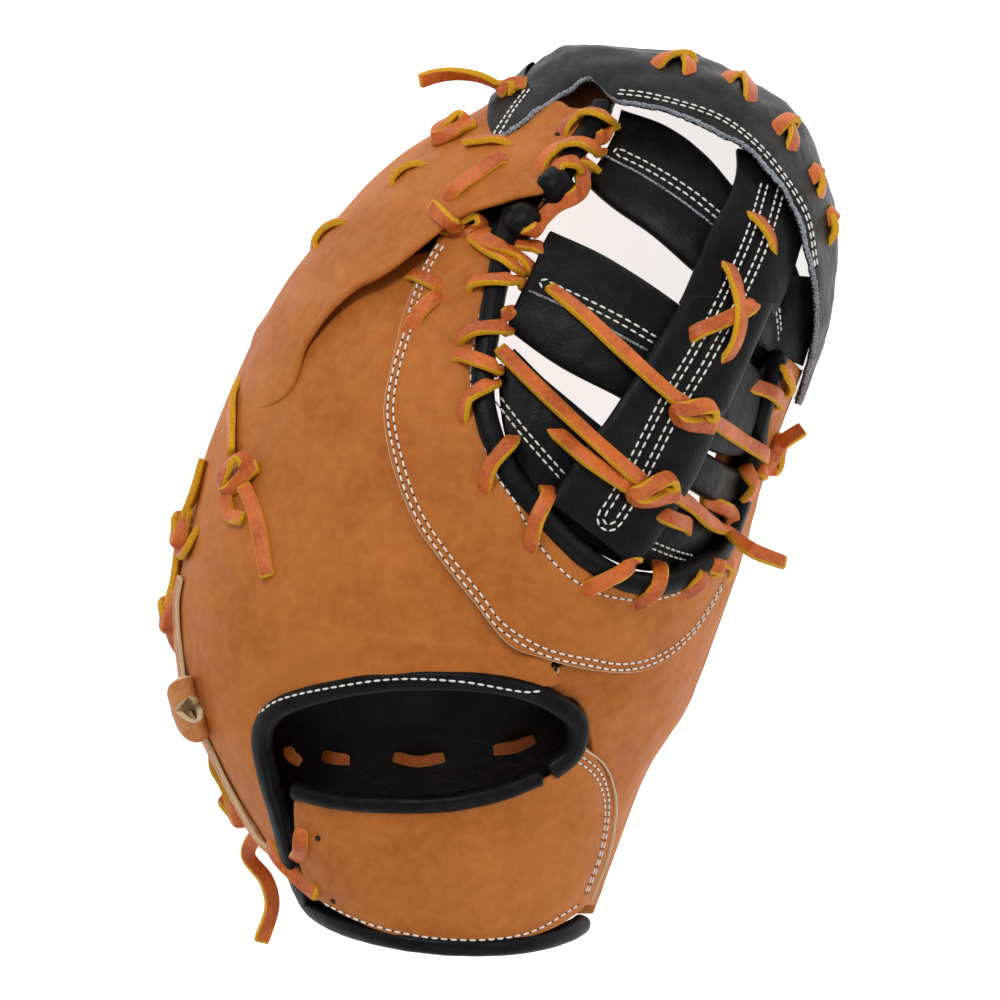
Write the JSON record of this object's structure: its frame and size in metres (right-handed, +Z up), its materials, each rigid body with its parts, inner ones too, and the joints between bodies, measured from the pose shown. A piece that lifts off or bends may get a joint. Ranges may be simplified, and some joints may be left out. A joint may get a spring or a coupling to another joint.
{
  "type": "first baseman's mitt",
  "caption": "Leather first baseman's mitt lying pocket down, with a deep pocket, a laced web and an open wrist strap",
  "frame": {"origin": "centre of the mitt's footprint, on the surface it lies on", "axes": "+X from the little finger's side to the thumb's side, +Y from the heel to the finger tips, +Z up out of the mitt's back"},
  "size_m": [0.2532, 0.3354, 0.1238],
  "materials": {
    "tan_leather": "satin",
    "black_leather": "satin",
    "lacing": "satin"
  },
  "bodies": {
    "root": {"opening_binding": "black_leather", "strap_binding_top": "black_leather", "strap_binding_bottom": "black_leather", "web_welt_tip": "black_leather", "web_welt": "black_leather", "web_wall": "black_leather", "finger_back": "tan_leather", "fold_lining": "black_leather", "thumb_back": "tan_leather", "web_collar": "tan_leather", "wrist_strap": "tan_leather", "palm_heel": "tan_leather", "palm_shell": "tan_leather", "palm_tip": "tan_leather", "palm_lining": "black_leather", "web_bar_1": "black_leather", "web_bar_2": "black_leather", "web_bar_3": "black_leather", "web_base": "black_leather", "web_post": "black_leather", "web_top_bar": "black_leather", "lace_edge_1": "lacing", "lace_edge_2": "lacing", "lace_edge_3": "lacing", "lace_edge_4": "lacing", "lace_edge_5": "lacing", "lace_edge_6": "lacing", "lace_edge_7": "lacing", "lace_base_1": "lacing", "lace_base_2": "lacing", "lace_base_3": "lacing", "lace_base_4": "lacing", "lace_base_5": "lacing", "lace_base_6": "lacing", "lace_post_cross_side": "lacing", "lace_post_slash": "lacing", "lace_post_cross_long": "lacing", "lace_collar_1": "lacing", "lace_collar_2": "lacing", "lace_finger_1": "lacing", "lace_finger_2": "lacing", "lace_rim_1": "lacing", "lace_rim_2": "lacing", "lace_rim_3": "lacing", "lace_top_1": "lacing", "lace_top_2": "lacing", "lace_top_3": "lacing", "lace_top_4": "lacing", "lace_top_5": "lacing", "lace_wrist": "lacing", "knot_post_1": "lacing", "knot_post_2": "lacing", "knot_finger_1": "lacing", "knot_finger_2": "lacing", "knot_pinky_1": "lacing", "knot_pinky_2": "lacing", "knot_pinky_3": "lacing", "knot_thumb": "lacing", "knot_wrist": "lacing", "knotted_thong": "tan_leather"}
  },
  "joints": []
}
